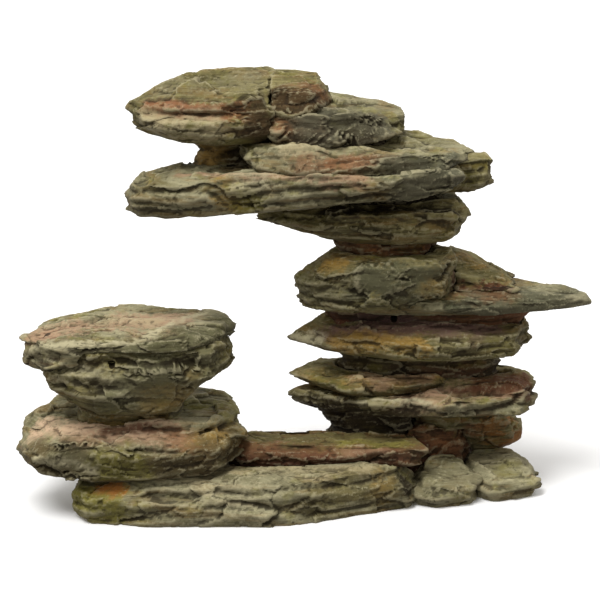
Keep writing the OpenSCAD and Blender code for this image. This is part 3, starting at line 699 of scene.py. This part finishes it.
make_stone("left_cap_slab", GREY_SLATE, "grey_resin", 10, dip=-0.03, chips=(8, 3), rounding=5, grime=0.15,
           terrace_height=1.5, flats=[
    ((0.68, 0.05, 0.6), (0.2, -0.95, 0.25), 12)], cuts=[
    ([(0.36, 0.06, 0.3), (0.46, 0.05, 0.3), (0.52, 0.05, 0.3)], 5, 5),
    ([(0.35, 0.85, 1), (0.7, 0.85, 1)], 18, -2),
    ([(0.29, 0.51, 1), (0.36, 0.44, 1), (0.43, 0.46, 1)], 1.2, 2.2),
    ([(0.33, 0.56, 1), (0.38, 0.7, 1), (0.48, 0.75, 1)], 1.3, 2),
    ([(0.44, 0.43, 1), (0.51, 0.56, 1), (0.6, 0.7, 1)], 1.3, 2.2),
    ([(0.46, 0.34, 1), (0.56, 0.4, 1), (0.66, 0.46, 1)], 1.2, 2),
    ([(0.1, 0.37, 0.92)], 2, 2.6), ([(0.17, 0.22, 0.95)], 2.4, 3), ([(0.08, 0.45, 0.9)], 1.6, 2.2),
    ([(0.3, 0.1, 0.9), (0.36, 0.1, 0.93), (0.41, 0.12, 0.93)], 1.8, 2.6),
    ([(0.04, 0.22, 0.72), (0.18, 0.08, 0.76), (0.28, 0.05, 0.84), (0.4, 0.08, 0.86), (0.53, 0.07, 0.84)], 2.4, -2),
    ([(0.07, 0.14, 0.5), (0.12, 0.08, 0.3), (0.22, 0.05, 0.2)], 3.4, 3.5),
    ([(0.9, 0.3, 0.85), (0.98, 0.42, 0.7)], 2.4, 3.4),
], patches=[
    ([(0.15, 0.4, 0.97), (0.4, 0.5, 1), (0.62, 0.55, 1)], 19, PINK, 0.8),
    ([(0.36, 0.6, 1), (0.6, 0.55, 1)], 7, SAND, 0.6),
    ([(0.1, 0.14, 0.82), (0.3, 0.06, 0.8), (0.5, 0.05, 0.75)], 6, (0.1, 0.09, 0.045), 0.9),
    ([(0.66, 0.08, 0.8), (0.78, 0.2, 0.9), (0.95, 0.45, 0.95)], 17, (0.1, 0.095, 0.045), 0.92),
    ([(0.03, 0.22, 0.72), (0.18, 0.1, 0.85), (0.4, 0.1, 0.93), (0.54, 0.13, 0.96), (0.64, 0.35, 1), (0.76, 0.59, 1),
      (0.87, 0.83, 1)], 3.6, PALE, 0.8),
    ([(0.05, 0.2, 0.3), (0.2, 0.06, 0.15)], 6, BLACK, 0.6),
])

# ---- Column ----
# Ledges and beds stacked by turns, threaded on one rod and bonded. The beds between the ledges are painted dark
# red-brown, the foot and the lower neck in a darker paint that also stands in as painted shade, and the one under
# the tip slab is hollow, with a vent hole in its front.
make_stone("column_foot", SHADED_DARK_SLATE, "shade_resin", 11, patches=[
    # Painted shade: black over the foot's front, for the shade under the lower ledge.
    ([(0.1, 0.1, 0.5), (0.9, 0.1, 0.5)], 14, BLACK, 0.85),
])
make_stone("foot_lobe_stone", OLIVE_SLATE, "moss_resin", 12, chips=(4, 2), swell=2.6, grime=0.1, patches=[
    ([(0.7, 0.1, 0.5), (0.95, 0.4, 0.3)], 9, ORANGE, 0.7),
    ([(0.1, 0.1, 0.5), (0.3, 0.05, 0.5)], 7, WINE, 0.6),
    ([(0.5, 0.05, 0.5)], 7, RUST, 0.6),
])
make_stone("lower_ledge_bottom_leaf", OLIVE_SLATE, "olive_resin", 13, chips=(6, 2), grime=0.4, cuts=[
    ([(0.69, 0.2, 0.9), (0.76, 0.24, 0.95), (0.84, 0.24, 0.9)], 5, 3.6),
    ([(0.66, 0.08, 0.6), (0.78, 0.06, 0.56), (0.92, 0.13, 0.55)], 2.2, -1.6),
    ([(0.29, 0.11, 0.49), (0.36, 0.08, 0.6), (0.47, 0.06, 0.66), (0.52, 0.03, 0.52), (0.6, 0.02, 0.45)], 2.4, -2),
    ([(0.09, 0.36, 0.5), (0.2, 0.2, 0.4), (0.32, 0.1, 0.34), (0.5, 0.06, 0.34)], 3, 3.6),
    ([(0.66, 0.0, 0.3), (0.8, 0.06, 0.3)], 2.4, 2.4),
], patches=[
    ([(0.5, 0.12, 0.8), (0.65, 0.15, 0.9), (0.9, 0.3, 0.95)], 13, PINK, 0.7),
    ([(0.8, 0.35, 1), (0.95, 0.4, 0.9)], 12, (0.11, 0.038, 0.015), 0.95),
    ([(0.69, 0.2, 0.92), (0.84, 0.25, 0.92)], 5, WINE, 0.95),
    ([(0.29, 0.11, 0.55), (0.36, 0.1, 0.66), (0.48, 0.07, 0.7), (0.6, 0.03, 0.5)], 2.6, PALE, 0.9),
    ([(0.65, 0.01, 0.4), (0.93, 0.14, 0.42)], 5, GREY, 0.9),
    # Painted shade: black on the leaf's lower front, which faces down into the shade.
    ([(0.1, 0.3, 0.1), (0.5, 0.1, 0.15)], 12, BLACK, 0.9),
])
make_stone("lower_ledge_top_leaf", OLIVE_SLATE, "rust_resin", 14, chips=(6, 2), swell=1.2, grime=0.25, patches=[
    ([(0.1, 0.3, 0.9), (0.5, 0.2, 0.95), (0.9, 0.3, 0.8)], 12, OCHRE, 0.5),
    ([(0.5, 0.2, 1), (0.8, 0.3, 0.9)], 9, PINK, 0.7),
    ([(0, 0.4, 0.4), (0.06, 0.35, 0.4)], 6, PALE, 0.7),
])
make_stone("lower_neck", SHADED_DARK_SLATE, "shade_resin", 15, grime=0.35, patches=[
    ([(0.1, 0.1, 0.6), (0.9, 0.1, 0.6)], 9, OLIVE, 0.4),
    ([(0.5, 0.05, 0.2), (0.9, 0.1, 0.3)], 6, WINE, 0.6),
])
make_stone("middle_ledge", OLIVE_SLATE, "olive_resin", 16, chips=(6, 2), cuts=[
    ([(0.64, 0.11, 0.66), (0.7, 0.08, 0.62)], 2.6, 3.6), ([(0.76, 0.08, 0.6)], 2.4, 3),
    ([(0.8, 0.1, 0.42), (0.88, 0.15, 0.45)], 2, 2.8), ([(0.9, 0.2, 0.62)], 2.4, 3),
    ([(0.6, 0.06, 0.45), (0.72, 0.06, 0.4)], 1.6, 2),
    ([(0.1, 0.34, 0.42), (0.16, 0.26, 0.3)], 2.4, 3),
    ([(0.2, 0.16, 0.38), (0.4, 0.04, 0.4), (0.56, 0.02, 0.4)], 2, 1.6),
], patches=[
    ([(0.2, 0.3, 0.9), (0.45, 0.25, 1), (0.8, 0.3, 1)], 13, (0.16, 0.09, 0.075), 0.9),
    ([(0.2, 0.18, 0.6), (0.4, 0.08, 0.66), (0.55, 0.04, 0.6)], 7, OCHRE, 0.85),
    ([(0.03, 0.46, 0.45), (0.12, 0.3, 0.45)], 5, PALE, 0.8),
    ([(0.66, 0.08, 0.5), (0.9, 0.2, 0.5)], 8, OLIVE, 0.5),
])
make_stone("vent_bed", RED_SLATE, "rust_resin", 17, chips=(4, 1.5), swell=1.8, lump=0.5,
           grime=0.15, vent=(50, 99.5, 3.4), patches=[
    ([(0.05, 0.05, 0.4), (0.95, 0.05, 0.4)], 10, WINE, 0.8),
    ([(0.2, 0.03, 0.6), (0.4, 0.03, 0.5)], 7, (0.1, 0.06, 0.06), 0.8),
    ([(0.7, 0.03, 0.5), (0.95, 0.1, 0.5)], 7, RUST, 0.6),
])
make_stone("tip_slab", GREY_SLATE, "grey_resin", 18, chips=(6, 2), rounding=5, step_depth=0.6, lump=0.6, cuts=[
    ([(0.04, 0.1, 0.1), (0.2, 0.04, 0.1), (0.45, 0.06, 0.1)], 7, 4),
    ([(0.38, 0.06, 0.66), (0.45, 0.08, 0.7), (0.53, 0.1, 0.72)], 3, 2.4),
    ([(0.55, 0.2, 0.85), (0.7, 0.25, 0.8), (0.85, 0.36, 0.7)], 1.6, 1.5),
    ([(0.6, 0.1, 0.5), (0.8, 0.28, 0.45), (0.95, 0.45, 0.3)], 1.4, 1.2),
], patches=[
    ([(0.38, 0.06, 0.68), (0.52, 0.1, 0.74)], 5, (0.02, 0.03, 0.012), 0.9),
    ([(0.5, 0.15, 0.6), (0.8, 0.3, 0.7), (0.95, 0.4, 0.6)], 16, (0.085, 0.083, 0.048), 0.9),
    ([(0.92, 0.4, 0.5), (1, 0.52, 0.5)], 5, PALE, 0.4),
    ([(0.45, 0.3, 1), (0.6, 0.3, 0.95)], 8, RUST, 0.6),
])
make_stone("upper_ledge_block", OLIVE_SLATE, "olive_resin", 19, chips=(8, 3), grime=0.4, flats=[
    ((0.5, 0.0, 0.7), (-0.03, -1, 0.2), 12), ((0.78, 0.08, 0.64), (0.22, -0.95, 0.2), 10)], cuts=[
    ([(0.1, 0.1, 0.03), (0.4, 0.0, 0.02), (0.9, 0.15, 0.02)], 7, 4),
    ([(0.4, 0.06, 0.88), (0.94, 0.28, 0.85)], 2, -1.5),
    ([(0.37, 0.01, 0.9), (0.36, 0.0, 0.5)], 1.6, 2.4),
    ([(0.36, 0.0, 0.5), (0.6, 0.02, 0.45), (0.85, 0.12, 0.38)], 1.8, 2.4),
    ([(0.14, 0.09, 0.48), (0.26, 0.03, 0.67), (0.35, 0.01, 0.57)], 1.8, 1.6),
    ([(0.08, 0.15, 0.3), (0.2, 0.06, 0.3), (0.34, 0.03, 0.28)], 2, 2.8),
    ([(0.05, 0.2, 0.7), (0.14, 0.1, 0.72)], 2.2, 2.8), ([(0.2, 0.1, 0.8)], 2.4, 2.6),
], patches=[
    ([(0.18, 0.19, 0.88), (0.25, 0.15, 0.9)], 6, OCHRE, 0.8),
    ([(0.05, 0.2, 0.5), (0.25, 0.05, 0.4)], 11, GREY, 0.6),
    ([(0.45, 0.02, 0.65), (0.85, 0.14, 0.6)], 13, (0.1, 0.1, 0.052), 0.95),
    ([(0.8, 0.15, 0.5), (0.9, 0.2, 0.5)], 6, OCHRE, 0.5),
    ([(0.4, 0.06, 0.9), (0.9, 0.28, 0.86)], 1.8, PALE, 0.7),
    ([(0.37, 0.01, 0.9), (0.37, 0.0, 0.5)], 1.6, PALE, 0.6),
    ([(0.99, 0.4, 0.4), (0.99, 0.5, 0.6)], 6, WINE, 0.95),
])
make_stone("upper_ledge_hump", OLIVE_SLATE, "moss_resin", 20, rounding=8, swell=2, grime=0.2, cuts=[
    ([(0.0, 0.05, 0.3), (0.3, 0.02, 0.25), (0.7, 0.05, 0.2)], 4, 6),
], patches=[
    ([(0.0, 0.05, 0.3), (0.3, 0.02, 0.2), (0.76, 0.1, 0.15)], 5, WINE, 0.95),
    ([(0.2, 0.4, 0.7), (0.7, 0.5, 0.4)], 10, OCHRE, 0.35),
])
make_stone("capital_neck", RED_SLATE, "rust_resin", 21, swell=1.8, grime=0.1, patches=[
    ([(0.3, 0.1, 0.6), (0.9, 0.15, 0.6)], 7, ORANGE, 0.35),
    ([(0.0, 0.1, 0.5), (0.2, 0.1, 0.5)], 7, BLACK, 0.6),
])
make_stone("capital_slab", OLIVE_SLATE, "olive_resin", 22, dip=-0.05, chips=(6, 2), grime=0.3, cuts=[
    ([(0.34, 0.25, 1), (0.6, 0.25, 1), (0.9, 0.3, 1)], 8, 4),
    ([(0.06, 0.36, 0.5), (0.2, 0.2, 0.46), (0.4, 0.06, 0.4)], 1.8, 2.4),
    ([(0.16, 0.3, 0.8), (0.3, 0.16, 0.78), (0.5, 0.06, 0.7)], 1.8, 2.4),
    ([(0.7, 0.03, 0.5), (0.9, 0.16, 0.5)], 1.8, 2),
], patches=[
        # Painted shade: a black band along the back of the top, for the shade in the slot under the cantilever.
        ([(0.34, 0.22, 0.96), (0.6, 0.24, 0.98), (0.9, 0.28, 0.98)], 9, BLACK, 1),
])

# ---- Cantilever ----
# The long bar over the opening, its top leaf and the squared tab at its right end. The bar is keyed onto a bed on
# the capital (painted near-black, as painted shade in the slot under the bar) and bored for the ends of the
# column's rod and the summit's.
make_stone("throat_bed", SHADED_DARK_SLATE, "shade_resin", 23, patches=[
    # Painted shade: near-black for the shade in the slot under the cantilever.
    ([(0.0, 0.1, 0.5), (1, 0.1, 0.5)], 12, BLACK, 0.9),
])
make_stone("end_tab", OLIVE_SLATE, "moss_resin", 24, chips=(6, 3), cuts=[
    ([(0.7, 0.05, 0.7), (1, 0.3, 0.65)], 1.6, 2.2), ([(0.7, 0.05, 0.35), (1, 0.3, 0.3)], 1.6, 2.2),
], patches=[
    ([(0.8, 0.2, 0.8), (0.9, 0.3, 1)], 10, MOSS, 0.4),
])
make_stone("cantilever_slab", GREY_SLATE, "grey_resin", 25, dip=0.08, chips=(6, 3), rounding=7,
           grime=0.4, flats=[((0.86, 0.06, 0.8), (0.3, -1, 0.05), 13)], cuts=[
    ([(0.07, 0.13, 0.64), (0.18, 0.05, 0.73), (0.26, 0.02, 0.7), (0.31, 0.02, 0.46)], 1.8, 2.6),
    ([(0.04, 0.14, 0.43), (0.13, 0.07, 0.4), (0.19, 0.04, 0.37), (0.26, 0.02, 0.42)], 1.8, 2.4),
    ([(0.1, 0.1, 0.56), (0.25, 0.02, 0.52)], 1.5, 2),
    ([(0.35, 0.03, 0.41), (0.55, 0.01, 0.56), (0.75, 0.02, 0.66), (0.93, 0.14, 0.7)], 2, 2.2),
    ([(0.5, 0.0, 0.74), (0.58, 0.0, 0.76), (0.66, 0.01, 0.84), (0.76, 0.03, 0.92)], 1.8, 2.4),
    ([(0.34, 0.02, 0.76), (0.42, 0.01, 0.84)], 3.4, -2.4),
    ([(0.33, 0.0, 0.62), (0.34, 0.0, 0.4)], 2.4, 2.4),
    ([(0.44, 0.0, 0.64), (0.5, 0.0, 0.62)], 7, -2),
], patches=[
    ([(0.17, 0.2, 0.95), (0.35, 0.06, 0.98), (0.55, 0.04, 1)], 4, PINK, 0.6),
    ([(0.3, 0.01, 0.7), (0.34, 0.02, 0.4)], 9, OCHRE, 0.6),
    ([(0.36, 0.01, 0.6), (0.38, 0.01, 0.4)], 9, MOSS, 0.8),
    ([(0.34, 0.01, 0.8), (0.42, 0.01, 0.86)], 4, PALE, 0.7),
    ([(0.78, 0.03, 0.75), (0.95, 0.12, 0.85)], 15, (0.075, 0.073, 0.044), 0.9),
    ([(0.7, 0.02, 0.8), (0.75, 0.02, 0.7)], 6, OCHRE, 0.5),
    ([(0.6, 0.02, 0.9), (0.7, 0.02, 0.95)], 5, PINK, 0.7),
    ([(0.05, 0.2, 0.8), (0.15, 0.1, 0.8)], 9, OLIVE, 0.5),
])
make_stone("cantilever_top_leaf", GREY_SLATE, "grey_resin", 26, chips=(6, 2), swell=1.2, grime=0.3,
           terrace_height=1.5, flats=[((0.72, 0.08, 0.4), (0.25, -1, 0.2), 14)], cuts=[
    ([(0.08, 0.12, 0.4)], 2.4, 3.4), ([(0.16, 0.06, 0.28)], 2.2, 3), ([(0.24, 0.04, 0.3)], 2, 2.6),
    ([(0.02, 0.3, 0.5), (0.1, 0.14, 0.66), (0.2, 0.14, 0.84), (0.38, 0.22, 0.86)], 2.4, -2),
    ([(0.35, 0.02, 0.42), (0.46, 0.07, 0.54), (0.52, 0.12, 0.66), (0.62, 0.2, 0.72)], 1.7, 2.8),
    ([(0.4, 0.02, 0.34), (0.5, 0.05, 0.46), (0.6, 0.09, 0.54)], 1.5, 2.4),
    ([(0.3, 0.1, 0.66), (0.42, 0.16, 0.76)], 1.5, 2.2),
    ([(0.66, 0.5, 0.76), (0.85, 0.6, 0.7)], 1.5, 2),
], patches=[
    ([(0.3, 0.04, 0.45), (0.48, 0.08, 0.6), (0.66, 0.14, 0.66)], 9, (0.2, 0.11, 0.055), 0.8),
    ([(0.4, 0.04, 0.5), (0.55, 0.1, 0.66)], 5, RUST, 0.7),
    ([(0.2, 0.15, 0.9), (0.4, 0.25, 0.95), (0.62, 0.4, 0.9)], 5, SAND, 0.75),
    ([(0.6, 0.6, 0.9), (0.95, 0.7, 0.7)], 13, OLIVE, 0.6),
    ([(0.66, 0.08, 0.4), (0.95, 0.2, 0.35)], 12, (0.08, 0.08, 0.048), 0.85),
])

# ---- Summit ----
# A waisted neck carries the tall boulder at the top, on its own rod. A second stone and a grey wedge are bonded
# to the boulder's right side, and the wedge also rests on a thin bed on the cantilever.
make_stone("summit_neck", OLIVE_SLATE, "moss_resin", 27, chips=(4, 2), grime=0.3, cuts=[
    ([(0.4, 0.06, 0.3), (0.7, 0.08, 0.45)], 5, 3),
], patches=[
    ([(0.05, 0.2, 0.3), (0.2, 0.1, 0.6), (0.3, 0.05, 0.5)], 10, (0.45, 0.27, 0.07), 0.9),
    ([(0.55, 0.08, 0.35), (0.9, 0.1, 0.5)], 7, BLACK, 0.8),
])
make_stone("summit_boulder", OLIVE_SLATE, "olive_resin", 28, dip=-0.04, chips=(10, 4), rounding=5, swell=1.2,
           grime=0.1, flats=[
    ((0.92, 0.14, 0.66), (0.45, -0.85, 0.25), 10), ((0.45, 0.3, 0.84), (-0.1, -0.6, 0.8), 10)], cuts=[
    ([(0.14, 0.4, 0.67), (0.28, 0.3, 0.7), (0.41, 0.24, 0.71), (0.63, 0.17, 0.69)], 1.6, 1.5),
    ([(0.12, 0.24, 0.4), (0.28, 0.1, 0.34), (0.48, 0.04, 0.37), (0.72, 0.08, 0.43), (0.8, 0.14, 0.5)], 3, -0.8),
    ([(0.89, 0.5, 0.97), (0.89, 0.36, 0.82), (0.89, 0.16, 0.62), (0.8, 0.03, 0.3)], 2, -2),
    ([(0.25, 0.15, 0.22), (0.5, 0.05, 0.2), (0.75, 0.04, 0.22)], 1.6, 2),
    ([(0.3, 0.4, 0.82), (0.5, 0.35, 0.84), (0.7, 0.3, 0.8)], 1.4, 2),
    ([(0.98, 0.1, 0.4), (0.97, 0.3, 0.8)], 4, 3),
], patches=[
    ([(0.3, 0.5, 0.9), (0.8, 0.5, 1)], 15, (0.2, 0.18, 0.1), 0.6),
    ([(0.16, 0.3, 0.6), (0.41, 0.15, 0.58), (0.8, 0.12, 0.55)], 6, (0.22, 0.085, 0.035), 0.9),
    ([(0.3, 0.2, 0.56), (0.6, 0.1, 0.5)], 4, PINK, 0.5),
    ([(0.12, 0.24, 0.36), (0.28, 0.1, 0.3), (0.6, 0.06, 0.36)], 7, SAND, 0.85),
    ([(0.14, 0.4, 0.68), (0.41, 0.24, 0.72), (0.8, 0.15, 0.66)], 2, BLACK, 0.6),
    ([(0.95, 0.1, 0.6), (0.92, 0.04, 0.2)], 13, (0.075, 0.042, 0.016), 0.9),
])
make_stone("summit_back_stone", OLIVE_SLATE, "moss_resin", 29, chips=(6, 3), rounding=5, swell=2.6, grime=0.1,
           flats=[((0.4, 0.1, 0.55), (0.1, -0.9, 0.35), 9)], patches=[
    ([(0.6, 0.35, 0.8), (0.85, 0.35, 0.5)], 9, RUST, 0.85),
    ([(0.1, 0.15, 0.6), (0.5, 0.15, 0.5), (0.8, 0.3, 0.4)], 15, (0.08, 0.045, 0.018), 0.95),
])
make_stone("summit_wedge", GREY_SLATE, "rust_resin", 30, chips=(6, 2), swell=2.4, grime=0.1, dip=-0.1,
           flats=[((0.3, 0.1, 0.55), (-0.1, -0.9, 0.3), 14), ((0.62, 0.2, 0.55), (0.25, -0.9, 0.3), 14)], cuts=[
    ([(0.62, 0.24, 0.62), (0.76, 0.28, 0.5), (0.88, 0.36, 0.44)], 1.6, 2.6),
    ([(0.3, 0.14, 0.6), (0.5, 0.14, 0.5)], 1.4, 2),
    ([(0.2, 0.1, 0.3), (0.5, 0.06, 0.3), (0.8, 0.24, 0.2)], 2, 2.4),
], patches=[
    ([(0.1, 0.1, 0.7), (0.25, 0.12, 0.5)], 10, RUST, 0.7),
    ([(0.3, 0.15, 0.6), (0.5, 0.2, 0.7), (0.75, 0.3, 0.7)], 15, (0.09, 0.084, 0.052), 0.9),
    ([(0.2, 0.08, 0.15), (0.7, 0.15, 0.1)], 6, BLACK, 0.85),
])
make_stone("wedge_bed", SHADED_DARK_SLATE, "shade_resin", 31, patches=[
    ([(0.0, 0.1, 0.5), (1, 0.1, 0.5)], 8, BLACK, 0.8),
])

# ---- Rods ----
# Three pultruded rods of glass fibre in clear resin, one up each stack. Their ends are bonded into bores, and
# the beds and necks are threaded on them, so that they carry the weight and hardly show.
def glass_fibre(name):
    material = bpy.data.materials.new(name)
    material.use_nodes = True
    shader = material.node_tree.nodes["Principled BSDF"]
    start = Wire(material.node_tree)
    at = start.node("ShaderNodeTexCoord", {}, {}, 3) * 1000.0
    fibres = (at / (0.3, 0.3, 20.0)).noise(3.0, 0.6)
    tone = mixed(fibres.ramp(0.35, 0.65), (0.5, 0.52, 0.33), (0.72, 0.72, 0.52))
    material.node_tree.links.new(tone.socket, shader.inputs["Base Color"])
    material.node_tree.links.new((0.3 + fibres * 0.2).socket, shader.inputs["Roughness"])
    return material


GLASS_FIBRE = glass_fibre("glass_fibre")
for name in ("column_rod", "left_rod", "summit_rod"):
    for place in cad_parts[name].material_slots:
        place.material = GLASS_FIBRE
